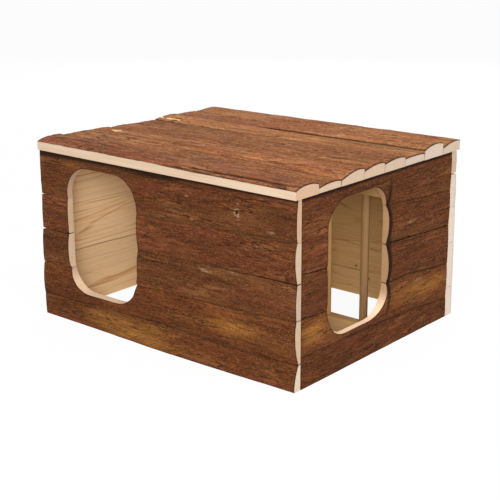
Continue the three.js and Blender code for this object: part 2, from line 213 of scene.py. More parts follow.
def saw_slab(name, survey, log):
    """The slab as a closed mesh, with the bark's relief in it and the edges at its seams a little broken.

    log tells one slab's timber from another's: its number, its pith's place and the marks on its bark.
    """
    along, across, out = (np.array(survey[axis]) for axis in ("along", "across", "out"))
    low = survey["low"][:, None] - (seam_squeeze if log["low_seam"] else 0)
    high = survey["high"][:, None] + (seam_squeeze if log["high_seam"] else 0)
    s = np.repeat(survey["stations"][:, None], rows_across + 1, 1)
    h = low + (high - low) * survey["shares"]
    rim = np.exp(-way_to_seam(h, low, high, log) / seam_round) * seam_state(s, low, high, h, survey, log)
    broken = rim * seam_break * np.clip(grown(s * 1000 / 9, h * 1000 / 20, log["seed"] + 7) * 1.6 - 0.5, 0, 1)
    h_bark = h + broken * np.where(h - low < high - h, 1, -1)
    wear = log["bark"] * bark_wear(s, h, log["seed"]) + seam_break * rim
    wear = np.maximum(wear, (log["bark"] + chip_below_bark) * chipped(s, h, log["chips"], log["seed"]))
    o = survey["flat"] + np.maximum(survey["bark"] - wear, edge_probe / 2)

    def lay(s, h, o):
        return s[..., None] * along + h[..., None] * across + o[..., None] * out

    rows, columns = s.shape
    kept = [0, seam_row, columns - 1 - seam_row, columns - 1]
    points = [*lay(s, h_bark, o).reshape(-1, 3)]
    sawn = {}
    for i in range(rows):
        for j in range(columns) if i in (0, rows - 1) else kept:
            sawn[i, j] = len(points)
            points.append(lay(s[i, j], h[i, j], np.array(survey["flat"])))

    def bark(i, j):
        return i * columns + j

    faces = [
        (bark(i, j), bark(i + 1, j), bark(i + 1, j + 1), bark(i, j + 1))
        for i in range(rows - 1) for j in range(columns - 1)
    ]
    for i in range(rows - 1):
        faces.append((bark(i, 0), sawn[i, 0], sawn[i + 1, 0], bark(i + 1, 0)))
        last = columns - 1
        faces.append((bark(i, last), bark(i + 1, last), sawn[i + 1, last], sawn[i, last]))
        for a, b in zip(kept, kept[1:]):
            near = [sawn[i, j] for j in (range(a, b + 1) if i == 0 else (a, b))]
            far = [sawn[i + 1, j] for j in (range(a, b + 1) if i + 1 == rows - 1 else (a, b))]
            faces.append((*near, *far[::-1]))
    for j in range(columns - 1):
        faces.append((bark(0, j), bark(0, j + 1), sawn[0, j + 1], sawn[0, j]))
        end = rows - 1
        faces.append((bark(end, j + 1), bark(end, j), sawn[end, j], sawn[end, j + 1]))
    return new_piece(name, points, faces)


def patch_share(s, h, patches):
    """One in the middle of each oval patch, falling to nothing at its rim."""
    share = np.zeros_like(s)
    for patch_s, patch_h, half_length, half_width in patches:
        share = np.maximum(share, 1 - np.hypot((s - patch_s) / half_length, (h - patch_h) / half_width))
    return share


log_spacing = 3.7
pared_rim = (0.0008, 0.0020)
sill_height = (0.009, 0.026)
beside_sill = 0.004


def write_mark(mesh, name, values):
    """Stores a value or a vector on each point, in place of any of that name."""
    if name in mesh.attributes:
        mesh.attributes.remove(mesh.attributes[name])
    kind, field = ("FLOAT", "value") if values.ndim == 1 else ("FLOAT_VECTOR", "vector")
    mesh.attributes.new(name, kind, "POINT").data.foreach_set(field, values.astype(np.float32).ravel())


def wood_marks(piece, survey, log):
    """Writes on each point its place in the log, its depth under the bark, and its way to seams and cuts."""
    mesh = piece.data
    points = np.empty(len(mesh.vertices) * 3)
    mesh.vertices.foreach_get("co", points)
    points = points.reshape(-1, 3)
    s, h, o = (points @ np.array(survey[axis]) for axis in ("along", "across", "out"))
    stations = survey["stations"]
    low, high = (np.interp(s, stations, survey[edge]) for edge in ("low", "high"))
    rows, columns = survey["bark"].shape
    i = np.interp(s, stations, np.arange(rows))
    j = np.interp((h - low) / (high - low), survey["shares"], np.arange(columns))
    i0, j0 = np.minimum(i.astype(int), rows - 2), np.minimum(j.astype(int), columns - 2)
    u, v, bark = i - i0, j - j0, survey["bark"]
    surface = (bark[i0, j0] * (1 - v) + bark[i0, j0 + 1] * v) * (1 - u)
    surface += (bark[i0 + 1, j0] * (1 - v) + bark[i0 + 1, j0 + 1] * v) * u
    to_cut = np.minimum(s - stations[0], stations[-1] - s)
    end_tone = np.tile(log["end_tone"], (len(points), 1))
    if log["doorway"] is not None:
        first, second, sill, top = log["doorway"]
        beyond_s = np.abs(s - (first + second) / 2) - (second - first) / 2 + doorway_radius
        beyond_h = np.abs(h - (sill + top) / 2) - (top - sill) / 2 + doorway_radius
        corner = np.hypot(np.maximum(beyond_s, 0), np.maximum(beyond_h, 0))
        to_cut = np.minimum(to_cut, corner + np.minimum(np.maximum(beyond_s, beyond_h), 0) - doorway_radius)
        # The sill takes its painted light, fading to the lips' tone above it and beside it.
        off_sill = np.interp(h - sill, sill_height, (0, 1))
        off_sill = np.where(np.maximum(first - s, s - second) > beside_sill, 1, off_sill)[:, None]
        end_tone = off_sill * end_tone + (1 - off_sill) * log["sill_painted_light_tone"]
    pared = np.interp(s, *log["pared"]) * np.interp(h - low, pared_rim, (1, 0)) if log["pared"] else 0
    marks = {
        "under_bark": survey["flat"] + surface - o + pared,
        "to_seam": way_to_seam(h, low, high, log),
        "seam_shade_and_dirt": seam_state(s, low, high, h, survey, log),
        "to_cut": to_cut,
        "stained": patch_share(s, h, log["stains"]),
        "shaded": patch_share(s, h, log["shades"]),
        "knotted": patch_share(s, h, log["knots"]),
        "flaked": patch_share(s, h, log["flakes"]),
    }
    for name, values in marks.items():
        write_mark(mesh, name, np.clip(values, 0, 1))
    in_log = (s + log_spacing * log["number"], h - log["pith_h"], o - survey["flat"] + log["pith_depth"])
    write_mark(mesh, "in_log", np.stack(in_log, 1))
    write_mark(mesh, "end_tone", end_tone)
    for name in ("face_tone", "bark_tone"):
        write_mark(mesh, name, np.tile(log[name], (len(points), 1)))
    shade_round(mesh)


def new_material(name):
    """A material, its tree of nodes and the shader in it."""
    material = bpy.data.materials.new(name)
    material.use_nodes = True
    return material, material.node_tree, material.node_tree.nodes["Principled BSDF"]


def node(tree, kind, inputs=(), **settings):
    """Adds a shader node. A value goes on its socket, and a socket given as a value is linked to it."""
    made = tree.nodes.new("ShaderNode" + kind)
    for name, value in settings.items():
        setattr(made, name, value)
    for key, value in dict(inputs).items():
        if isinstance(value, bpy.types.NodeSocket):
            tree.links.new(value, made.inputs[key])
        else:
            made.inputs[key].default_value = value
    return made


def fibre(tree, place, length, width, detail=3.0, shift=0.0, roughness=0.55, bend=0.0):
    """Noise drawn out along the grain, in lumps of that length and width."""
    stretched = node(tree, "Mapping", {
        "Vector": place, "Location": (shift, shift, shift), "Scale": (1 / length, 1 / width, 1 / width),
    })
    return node(tree, "TexNoise", {
        "Vector": stretched.outputs[0], "Scale": 1.0,
        "Detail": detail, "Roughness": roughness, "Distortion": bend,
    }).outputs["Fac"]


def crack(tree, place, length, width, fineness, shift, level=0.5):
    """Thin splits along the grain, where drawn-out noise passes a level. Near levels run side by side."""
    away = minus(tree, fibre(tree, place, length, width, 3.0, shift, 0.55, 0.4), level)
    return rise(tree, maths(tree, "ABSOLUTE", away), fineness, 0.0)


def rise(tree, value, start, end, to=1.0):
    """A soft step from zero to a height, as value goes from start to end, whichever of them is larger."""
    up = start < end
    inputs = {"Value": value, "From Min": min(start, end), "From Max": max(start, end)}
    inputs.update({"To Min": 0.0 if up else to, "To Max": to if up else 0.0})
    return node(tree, "MapRange", inputs, interpolation_type="SMOOTHSTEP").outputs["Result"]


def maths(tree, operation, a, b=0.0):
    """One step of arithmetic on sockets and numbers."""
    return node(tree, "Math", {0: a, 1: b}, operation=operation).outputs[0]


def times(tree, first, *others):
    """The product of sockets and numbers."""
    for other in others:
        first = maths(tree, "MULTIPLY", first, other)
    return first


def plus(tree, first, *others):
    """The sum of sockets and numbers."""
    for other in others:
        first = maths(tree, "ADD", first, other)
    return first


def minus(tree, a, b):
    """What is left of one when the other is taken away."""
    return maths(tree, "SUBTRACT", a, b)


def toned(tree, colour, tone):
    """A colour under a tone, which is a colour itself or a socket."""
    inputs = {0: 1.0, 6: colour, 7: tone if isinstance(tone, bpy.types.NodeSocket) else (*tone, 1.0)}
    return node(tree, "Mix", inputs, data_type="RGBA", blend_type="MULTIPLY").outputs[2]


def tinted(tree, share, ground, over):
    """One colour laid over another by a share."""
    inputs = {0: share}
    for socket, colour in ((6, ground), (7, over)):
        inputs[socket] = colour if isinstance(colour, bpy.types.NodeSocket) else (*colour, 1.0)
    return node(tree, "Mix", inputs, data_type="RGBA").outputs[2]


pale_wood, tan_wood, dull_wood = (0.88, 0.64, 0.39), (0.80, 0.53, 0.285), (0.74, 0.53, 0.31)
ring_wood, pore_wood = (0.56, 0.28, 0.115), (0.40, 0.22, 0.10)
end_wood, end_speck = (0.80, 0.57, 0.38), (0.56, 0.34, 0.19)
ring_width = 0.0027
ring_wander = 0.034


def sawn_wood(tree, place):
    """Colour and height of bare wood: pores, and thin reddish rings about the pith that wander along it."""
    wander = fibre(tree, place, 0.42, 0.09, 2.0)
    split = node(tree, "SeparateXYZ", {0: place}).outputs
    radius = maths(tree, "SQRT", plus(tree, *(maths(tree, "POWER", split[k], 2.0) for k in (1, 2))))
    growth = maths(tree, "DIVIDE", plus(tree, radius, times(tree, wander, ring_wander)), ring_width)
    growth = maths(tree, "FRACT", growth)
    late = times(tree, rise(tree, growth, 0.72, 0.96), rise(tree, growth, 1.0, 0.97))
    strength = rise(tree, fibre(tree, place, 0.11, 0.012, 2.0, 3.1), 0.42, 0.62, 0.85)
    pores = fibre(tree, place, 0.018, 0.0007, 3.0, 5.3, 0.7)
    streaks = fibre(tree, place, 0.16, 0.0026, 5.0, 9.7, 0.65)
    of_log = node(tree, "TexNoise", {"Vector": place, "Scale": 0.9, "Detail": 0.0}).outputs["Fac"]
    colour = tinted(tree, rise(tree, streaks, 0.40, 0.62, 0.9), pale_wood, tan_wood)
    colour = tinted(tree, rise(tree, of_log, 0.40, 0.62, 0.45), colour, dull_wood)
    colour = tinted(tree, times(tree, late, strength), colour, ring_wood)
    colour = tinted(tree, rise(tree, pores, 0.56, 0.76, 0.35), colour, pore_wood)
    return colour, plus(tree, times(tree, pores, 0.5), times(tree, late, 0.12))


def end_grain(tree, place):
    """Wood sawn across the grain: paler, with specks for pores and faint rings."""
    specks = node(tree, "TexNoise", {"Vector": place, "Scale": 900.0, "Detail": 2.0, "Roughness": 0.6})
    specks = specks.outputs["Fac"]
    clouds = node(tree, "TexNoise", {"Vector": place, "Scale": 120.0, "Detail": 2.0}).outputs["Fac"]
    colour = tinted(tree, rise(tree, clouds, 0.40, 0.66, 0.35), end_wood, tan_wood)
    return tinted(tree, rise(tree, specks, 0.52, 0.70, 0.55), colour, end_speck)


shade_beside_cut = (0.0022, 0.0003)
end_grain_depth = (0.0005, 0.0002)
torn_rim = 0.0009
rim_over, rim_under = 0.0002, 0.0001
butt_reach, butt_depth = (0.0006, 0.0002), (0.0075, 0.0045)
seam_on_wood = 0.0009
seam_raggedness = 0.0075
relief_height = 0.0015


def bark_finish(name, colours, thick, long, wide, seam_reach, edge_shade, knots_in_wood=()):
    """Bark on the outside and bare wood wherever a point lies deeper than the bark is thick.

    long and wide draw the bark's marks larger, seam_reach is how far a seam's painted shade and dirt go, and
    edge_shade is how dark the painted shade on the bark beside its saw cuts is.
    """
    material, tree, shader = new_material(name)

    def mark(what):
        return node(tree, "Attribute", attribute_name=what).outputs

    place = mark("in_log")["Vector"]
    depth, to_seam, to_cut, shade_and_dirt = (mark(n)["Fac"] for n in ("under_bark", "to_seam", "to_cut", "seam_shade_and_dirt"))
    stained, shaded, knotted, flaked = (mark(n)["Fac"] for n in ("stained", "shaded", "knotted", "flaked"))
    specks = fibre(tree, place, 0.0026 * long, 0.0014 * wide, 3.0, 17.3, 0.7)
    threads = fibre(tree, place, 0.0075 * long, 0.0009 * wide, 4.0, 1.3, 0.70)
    strands = fibre(tree, place, 0.030 * long, 0.0025 * wide, 5.0, 2.7, 0.72, 0.7)
    patches = fibre(tree, place, 0.070 * long, 0.0110 * wide, 4.0, 4.9, 0.62, 0.3)
    tones = fibre(tree, place, 0.130 * long, 0.0200 * wide, 3.0, 7.7)
    scales = fibre(tree, place, 0.0070 * long, 0.0018 * wide, 3.0, 6.1, 0.6, 0.6)
    drifts = fibre(tree, place, 0.240, 0.0420, 2.0, 21.3, 0.5, 0.5)
    split_here = rise(tree, patches, 0.46, 0.60)
    cracks = times(tree, crack(tree, place, 0.060 * long, 0.0075 * wide, 0.024, 11.9), split_here)
    ridges = crack(tree, place, 0.060 * long, 0.0075 * wide, 0.030, 11.9, 0.55)
    ridges = times(tree, ridges, split_here, rise(tree, threads, 0.42, 0.56))
    streaky = plus(tree, rise(tree, strands, 0.30, 0.62, 0.6), rise(tree, patches, 0.36, 0.60, 0.4))
    knot = plus(tree, knotted, times(tree, minus(tree, strands, 0.5), 0.9))
    knot = times(tree, knot, rise(tree, knotted, 0.0, 0.12))
    ring = times(tree, rise(tree, knot, 0.10, 0.35), rise(tree, knot, 0.75, 0.55))
    ring = times(tree, ring, rise(tree, specks, 0.42, 0.54, 0.9))
    # Painted shade: the bark darkens beside its saw cuts, and under the shaded patches.
    painted_edge_shade = maths(
        tree, "MAXIMUM", rise(tree, to_cut, *shade_beside_cut, edge_shade), rise(tree, shaded, 0.0, 0.5, 0.85)
    )

    # Each coat goes over those before it: broad tones, stains, threads, scales, knots, cracks, and painted
    # shade at the edges
    coats = [
        (rise(tree, tones, 0.50, 0.66, 0.60), "olive"), (rise(tree, tones, 0.48, 0.34, 0.65), "ruddy"),
        (rise(tree, patches, 0.50, 0.70, 0.50), "light"), (rise(tree, patches, 0.46, 0.32, 0.45), "dark"),
        (rise(tree, drifts, 0.53, 0.68, 0.22), "light"), (rise(tree, drifts, 0.48, 0.34, 0.35), "dark"),
        (rise(tree, strands, 0.44, 0.32, 0.70), "dark"),
        (times(tree, rise(tree, stained, 0.0, 0.9), streaky, 0.75), "gold"),
        (rise(tree, threads, 0.52, 0.74, 0.65), "light"), (rise(tree, threads, 0.45, 0.28, 0.65), "dark"),
        (rise(tree, scales, 0.38, 0.30, 0.60), "dark"),
        (rise(tree, specks, 0.47, 0.33, 0.80), "dark"), (rise(tree, specks, 0.53, 0.69, 0.50), "light"),
        (times(tree, ridges, 0.55), "light"),
        (times(tree, rise(tree, scales, 0.62, 0.70), rise(tree, patches, 0.54, 0.68, 0.6)), "fleck"),
        (times(tree, rise(tree, flaked, 0.05, 0.6), rise(tree, threads, 0.42, 0.58, 0.85)), "flake"),
        (ring, "rim"), (rise(tree, knot, 0.62, 0.80, 0.9), "black"),
        (rise(tree, depth, 0.5 * thick, 1.3 * thick, 0.5), "dark"),
        (times(tree, cracks, 0.85), "crack"), (painted_edge_shade, "black"),
    ]
    colour = tinted(tree, rise(tree, strands, 0.34, 0.60), colours["dark"], colours["middle"])
    for share, coat in coats:
        colour = tinted(tree, share, colour, colours[coat])
    colour = toned(tree, colour, mark("bark_tone")["Vector"])

    wood, pores = sawn_wood(tree, place)
    wood = toned(tree, wood, mark("face_tone")["Vector"])
    sawn_end = toned(tree, end_grain(tree, place), mark("end_tone")["Vector"])
    wood = tinted(tree, rise(tree, to_cut, *end_grain_depth), wood, sawn_end)
    for spot, radius in knots_in_wood:
        here = node(tree, "TexCoord").outputs["Object"]
        away = node(tree, "VectorMath", {0: here, 1: spot}, operation="DISTANCE").outputs["Value"]
        wood = tinted(tree, rise(tree, away, 2.2 * radius, radius, 0.45), wood, ring_wood)
        wood = tinted(tree, rise(tree, away, radius, 0.5 * radius, 0.9), wood, colours["dark"])
    ragged = times(tree, minus(tree, threads, 0.5), torn_rim)
    bare = rise(tree, plus(tree, depth, ragged), thick - rim_over, thick + rim_under)
    covered = minus(tree, 1.0, bare)
    colour = tinted(tree, bare, colour, wood)

    # Seams darken: a painted shade down in each seam's groove, and over its edges a darkening that is part
    # painted shade and part dirt.
    groove_shade = times(tree, rise(tree, to_seam, *butt_reach), rise(tree, depth, *butt_depth), shade_and_dirt)
    colour = tinted(tree, groove_shade, colour, colours["dark"])
    ragged = minus(tree, fibre(tree, place, 0.007, 0.05, 4.0, 15.1, 0.65), 0.45)
    to_seam = plus(tree, to_seam, times(tree, ragged, seam_raggedness, covered))
    on_wood = times(tree, rise(tree, to_seam, seam_on_wood, 0.0, 0.8), bare)
    on_bark = times(tree, rise(tree, to_seam, seam_reach, 0.0), covered)
    seam_shade_and_grime = times(tree, plus(tree, on_wood, on_bark), shade_and_dirt)
    colour = tinted(tree, seam_shade_and_grime, colour, tinted(tree, bare, colours["black"], colours["dark"]))
    tree.links.new(colour, shader.inputs["Base Color"])
    rough = node(tree, "MapRange", {"Value": threads, "To Min": 0.98, "To Max": 0.76})
    tree.links.new(rough.outputs["Result"], shader.inputs["Roughness"])
    shader.inputs["Specular IOR Level"].default_value = 0.08
    heights = ((threads, 0.35), (strands, 0.8), (scales, 0.4), (cracks, -0.6), (ridges, 0.3))
    relief = plus(tree, *(times(tree, noise, height) for noise, height in heights))
    height = node(tree, "Mix", {0: bare, 2: relief, 3: times(tree, pores, 0.12)}).outputs[0]
    bump = node(tree, "Bump", {"Strength": 1.0, "Distance": relief_height * wide, "Height": height})
    tree.links.new(bump.outputs[0], shader.inputs["Normal"])
    return material


inner_knots = (
    ((0.062, 0.146, 0.039), 0.0016), ((0.082, 0.146, 0.025), 0.0016), ((-0.120, 0.146, 0.150), 0.0022),
)
wall_bark = bark_finish("wall_bark", {
    "black": (0.012, 0.005, 0.0025), "crack": (0.022, 0.0075, 0.0032), "dark": (0.042, 0.0125, 0.0045),
    "middle": (0.125, 0.038, 0.0115), "light": (0.300, 0.112, 0.036), "ruddy": (0.145, 0.039, 0.0155),
    "olive": (0.115, 0.046, 0.0140), "gold": (0.390, 0.170, 0.037), "fleck": (0.32, 0.175, 0.095),
    "flake": (0.30, 0.175, 0.105), "rim": (0.40, 0.215, 0.115),
}, wall_bark_thickness, long=1.0, wide=1.0, seam_reach=0.0011, edge_shade=0.35, knots_in_wood=inner_knots)

# Marks on each wall's slabs. A patch has a place along the wall and up it, a half length and a half width.
stains = {
    "front": [(-0.045, 0.012, 0.110, 0.024), (0.110, 0.052, 0.062, 0.016)],
    "right": [(-0.126, 0.060, 0.034, 0.020), (0.085, 0.053, 0.110, 0.017)],
    "back": [(0.060, 0.050, 0.050, 0.012), (-0.120, 0.150, 0.040, 0.010)],
    "left": [(0.050, 0.020, 0.060, 0.012), (-0.080, 0.130, 0.040, 0.009)],
}
bark_knots = {
    "front": [(0.1180, 0.1840, 0.0055, 0.0070)],
    "right": [],
    "back": [(0.040, 0.130, 0.009, 0.006), (-0.110, 0.030, 0.007, 0.005)],
    "left": [(-0.040, 0.090, 0.009, 0.006)],
}
loose_flakes = {
    "front": [
        (0.071, 0.110, 0.012, 0.003), (0.112, 0.115, 0.008, 0.002), (0.0515, 0.165, 0.004, 0.002),
        (0.1187, 0.1935, 0.0032, 0.0015), (0.1204, 0.1765, 0.0030, 0.0017), (0.1203, 0.1712, 0.0038, 0.0010),
        (0.1368, 0.1809, 0.0024, 0.0009), (0.1761, 0.2060, 0.0032, 0.0010), (0.1645, 0.1710, 0.0050, 0.0013),
        (0.1843, 0.1762, 0.0030, 0.0011), (0.1869, 0.1724, 0.0030, 0.0013),
        (0.163, 0.1695, 0.007, 0.002), (0.045, 0.190, 0.005, 0.002), (0.1455, 0.151, 0.005, 0.002),
    ],
    "right": [(0.075, 0.066, 0.016, 0.002), (0.060, 0.142, 0.012, 0.002)],
    "back": [(-0.060, 0.100, 0.012, 0.003)],
    "left": [(0.060, 0.080, 0.012, 0.003)],
}
# Painted shadow under the roof's edge, along the top of the front and right walls, and darker bark beside the
# right doorway's rear lip.
painted_shadow_and_dark_bark = {
    "front": [(-0.200, 0.2105, 0.300, 0.009), (-0.010, 0.2105, 0.080, 0.011), (0.000, 0.2105, 0.500, 0.006)],
    "right": [(0.015, 0.120, 0.006, 0.110), (0.015, 0.124, 0.011, 0.009), (0.000, 0.2105, 0.500, 0.006)],
}

# How dark each seam is with painted shade and dirt, and how open, at the start, middle and end of a slab,
# from the lowest seam up
seam_shade_and_dirt = {
    "front": [(0.7, 0.5, 0.4), (0.2, 0.3, 0.4), (0.2, 0.4, 1.0), (0.1, 0.15, 0.1)],
    "right": [(0.3, 0.8, 0.4), (0.9, 0.6, 0.6), (0.9, 0.9, 1.0), (0.1, 0.4, 0.6)],
    "back": [(0.15, 0.5, 0.5), (0.15, 0.6, 0.6), (0.1, 0.2, 0.2), (0.1, 0.2, 0.2)],
    "left": [(0.7, 0.7, 0.7), (0.25, 0.2, 0.25), (0.3, 0.3, 0.2)],
}
unseamed_edge, clear = (0, 0, 0), (1, 1, 1)

# Tones of the slabs' bark, inner faces and sawn ends, from each wall's lowest slab to its top one
bark_tones = {
    "front": [
        (1.04, 1.04, 0.97), (1.10, 1.05, 0.98), (0.93, 0.97, 0.99), (1.09, 1.04, 1.10), (0.92, 0.91, 0.91),
    ],
    "right": [
        (0.94, 0.92, 0.92), (1.10, 1.08, 1.00), (0.95, 0.95, 0.97), (1.04, 1.02, 1.04), (0.98, 0.97, 0.96),
    ],
    "back": 5 * [clear], "left": 4 * [clear],
}
# The back wall's inner face is painted lighter on its two top slabs, a painted light against the shade under
# the roof.
face_tones_with_painted_light = {
    "front": 5 * [clear], "right": 5 * [clear],
    "back": 3 * [(0.98, 0.87, 0.65)] + [(1.08, 0.98, 0.74), (1.12, 1.04, 0.80)],
    "left": 4 * [(1.04, 1.00, 0.94)],
}
shaded_lip = (0.50, 0.42, 0.335)
end_tones = {
    "front": [
        (0.73, 0.85, 0.96), (0.61, 0.61, 0.63), (0.74, 0.745, 0.77), (0.67, 0.66, 0.65), (0.59, 0.535, 0.54),
    ],
    "right": [clear, (0.58, 0.50, 0.44)] + 3 * [shaded_lip],
    "back": 3 * [(0.80, 0.95, 1.21)] + [(0.74, 0.88, 1.13), (0.62, 0.64, 0.69)],
    "left": 4 * [clear],
}
corner_end_tones = {"front_slab_3_right": (0.555, 0.58, 0.65), "front_slab_4_right": (0.61, 0.64, 0.68)}
# The sills are painted lighter than the sawn lips beside them: a painted light on faces that look up.
sill_painted_light_tones = {"front": (0.91, 0.92, 0.95), "right": (1.20, 1.25, 1.31)}
pith_depths = (0.050, 0.062, 0.047, 0.071, 0.056)
pith_wander = 0.004
doorway_walls = ("front", "right")
doorway_radius = 0.036
swellings = {"front": [(-0.028, 0.069, 0.045, 0.018)]}
swelling_height = 0.0045
wall_pieces = {}


def doorway_reach(wall, top_slab):
    """The stretch and the height of a wall's doorway, felt out from its middle to the solids around it."""
    along, out = walls[wall]
    halves = [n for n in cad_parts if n.startswith(wall + "_slab_3_")]
    halves.sort(key=lambda n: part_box(n)[0].dot(along))
    ends = sorted(corner.dot(along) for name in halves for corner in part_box(name))
    lowest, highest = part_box(halves[0])
    depth = (lowest + highest).dot(out) / 2
    middle = along * (ends[1] + ends[2]) / 2 + out * depth + Vector((0, 0, (lowest.z + highest.z) / 2))
    up = Vector((0, 0, 1))
    ways = ((halves[0], -along), (halves[1], along), (wall + "_slab_2", -up), (f"{wall}_slab_{top_slab}", up))
    first, second, sill, top = (solid_tree(name).ray_cast(middle, way)[0] for name, way in ways)
    return first.dot(along), second.dot(along), sill.z, top.z


for wall_number, (wall, (along, out)) in enumerate(walls.items()):
    names = sorted(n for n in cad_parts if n.startswith(wall + "_slab_"))
    top_slab = int(names[-1].split("_")[2])
    doorway = doorway_reach(wall, top_slab) if wall in doorway_walls else None
    for name in names:
        number = int(name.split("_")[2])
        survey = survey_slab(name, along, out, doorway)
        heights = survey["low"][:, None] + (survey["high"] - survey["low"])[:, None] * survey["shares"]
        lengths = np.repeat(survey["stations"][:, None], heights.shape[1], 1)
        swollen = patch_share(lengths, heights, swellings.get(wall, ()))
        survey["bark"] = survey["bark"] + swelling_height * swollen ** 2 * (3 - 2 * swollen)
        log_number = 5 * wall_number + number
        middle = (survey["low"].mean() + survey["high"].mean()) / 2
        log = {
            "number": log_number, "seed": 100 * log_number,
            "pith_h": middle + pith_wander * math.sin(5 * log_number),
            "pith_depth": pith_depths[(number + wall_number) % len(pith_depths)],
            "low_seam": number > 1, "high_seam": number < top_slab, "doorway": doorway,
            "low_shade_and_dirt": seam_shade_and_dirt[wall][number - 2] if number > 1 else unseamed_edge,
            "high_shade_and_dirt": seam_shade_and_dirt[wall][number - 1] if number < top_slab else unseamed_edge,
            "face_tone": face_tones_with_painted_light[wall][number - 1], "bark_tone": bark_tones[wall][number - 1],
            "end_tone": corner_end_tones.get(name, end_tones[wall][number - 1]),
            "sill_painted_light_tone": sill_painted_light_tones.get(wall), "bark": wall_bark_thickness, "pared": None, "chips": (),
            "stains": stains[wall], "shades": painted_shadow_and_dark_bark.get(wall, ()),
            "knots": bark_knots[wall], "flakes": loose_flakes[wall],
        }
        piece = saw_slab(name.replace("slab", "bark_slab"), survey, log)
        wood_marks(piece, survey, log)
        piece.data.materials.append(wall_bark)
        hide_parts(name)
        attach(piece, "house")
        wall_pieces[name] = (piece, survey, log)

# Doorways. One is sawn through the front wall and one through the right wall, with round corners. The saw
# goes straight through slabs of uneven thickness, so the pale sawn lip has a wavy outer rim of bark.
corner_steps = 14
side_steps = 10
saw_levels = 24
saw_overrun = 0.003


def doorway_block(wall, doorway):
    """A block of the doorway's shape, in thin layers, so that the lip it leaves is sawn in layers too."""
    along, out = walls[wall]
    first, second, sill, top = doorway
    corners = []
    for turn, (s, z) in enumerate(((second, top), (first, top), (first, sill), (second, sill))):
        centre_s = s + (doorway_radius if s == first else -doorway_radius)
        centre_z = z + (doorway_radius if z == sill else -doorway_radius)
        for step in range(corner_steps + 1):
            angle = (turn + step / corner_steps) * math.pi / 2
            spoke = np.array((math.cos(angle), math.sin(angle)))
            corners.append(np.array((centre_s, centre_z)) + doorway_radius * spoke)
    ring = []
    for k, corner in enumerate(corners):
        steps = side_steps if (k + 1) % (corner_steps + 1) == 0 else 1
        following = corners[(k + 1) % len(corners)]
        ring += [corner + (following - corner) * step / steps for step in range(steps)]
    flat = wall_pieces[f"{wall}_slab_2"][1]["flat"]
    crown = max(flat + wall_pieces[n][1]["bark"].max() for n in wall_pieces if n.startswith(wall))
    levels = np.linspace(flat - saw_overrun, crown + saw_overrun, saw_levels)
    points = [along * s + Vector((0, 0, z)) + out * level for level in levels for s, z in ring]
    count = len(ring)
    faces = [
        (k * count + a, k * count + (a + 1) % count, (k + 1) * count + (a + 1) % count, (k + 1) * count + a)
        for k in range(saw_levels - 1) for a in range(count)
    ]
    faces += [tuple(range(count))[::-1], tuple(range((saw_levels - 1) * count, saw_levels * count))]
    return new_piece("doorway_block", points, faces)


for wall in doorway_walls:
    in_wall = [entry for name, entry in wall_pieces.items() if name.startswith(wall)]
    cut_pieces = [(piece, survey, log) for piece, survey, log in in_wall if log["low_seam"]]
    block = doorway_block(wall, cut_pieces[0][2]["doorway"])
    for piece, survey, log in cut_pieces:
        saw = piece.modifiers.new("doorway", "BOOLEAN")
        saw.operation, saw.solver, saw.object = "DIFFERENCE", "EXACT", block
        sawn = piece.evaluated_get(bpy.context.evaluated_depsgraph_get())
        piece.data = bpy.data.meshes.new_from_object(sawn)
        piece.modifiers.clear()
        wood_marks(piece, survey, log)
    bpy.data.objects.remove(block)

# Battens. Square battens of planed softwood stand in the corners, beside the front doorway, behind the
# rack's ends and in the middle of the back wall. They tie the slabs, and end just under the roof.
batten_edge = 0.0005
pith_of_batten = (0.41, 0.33)


def planed_wood(name, grain_axis, tone=(1.0, 1.0, 1.0)):
    """Planed softwood, grain along one axis of the house, toned for its age, and on the dowels with painted
    shade and light.
    """
    material, tree, shader = new_material(name)
    at = node(tree, "SeparateXYZ", {0: node(tree, "TexCoord").outputs["Object"]}).outputs
    order = {"x": (0, 1, 2), "y": (1, 2, 0), "z": (2, 0, 1)}[grain_axis]
    from_pith = [plus(tree, at[axis], far) for axis, far in zip(order[1:], pith_of_batten)]
    place = node(tree, "CombineXYZ", {0: at[order[0]], 1: from_pith[0], 2: from_pith[1]}).outputs[0]
    colour, height = sawn_wood(tree, place)
    tree.links.new(toned(tree, colour, tone), shader.inputs["Base Color"])
    shader.inputs["Roughness"].default_value = 0.65
    shader.inputs["Specular IOR Level"].default_value = 0.25
    bump = node(tree, "Bump", {"Strength": 0.5, "Distance": 0.0003, "Height": height})
    tree.links.new(bump.outputs[0], shader.inputs["Normal"])
    return material


def dress(nodes, material, edge):
    """Gives solids that keep their own shape a finish, and breaks their sharp edges."""
    for name in nodes:
        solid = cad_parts[name]
        solid.data.materials.clear()
        solid.data.materials.append(material)
        eased = solid.modifiers.new("eased_edges", "BEVEL")
        eased.width, eased.segments = edge, 3
        eased.limit_method, eased.angle_limit = "ANGLE", math.radians(40)


uprights = [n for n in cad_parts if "batten" in n and not n.startswith("roof")]
aged_wood = planed_wood("upright_batten_wood", "z", (0.80, 0.72, 0.62))
dress([n for n in uprights if "door" not in n], aged_wood, batten_edge)
dress(["door_batten_front"], planed_wood("door_batten_wood", "z"), batten_edge)

# Rack. Two rails with seven round bars between them make a hay rack across the house, just to the rear of the
# right doorway. The bars are turned dowels, 10 mm thick, and sit in blind holes in the rails.
rail_edge = 0.0015
bar_sides = 28
bar_rings = 40
bar_wear, bar_lumps = 0.02, (3.1, 1.7)
bar_end_taper = 0.93

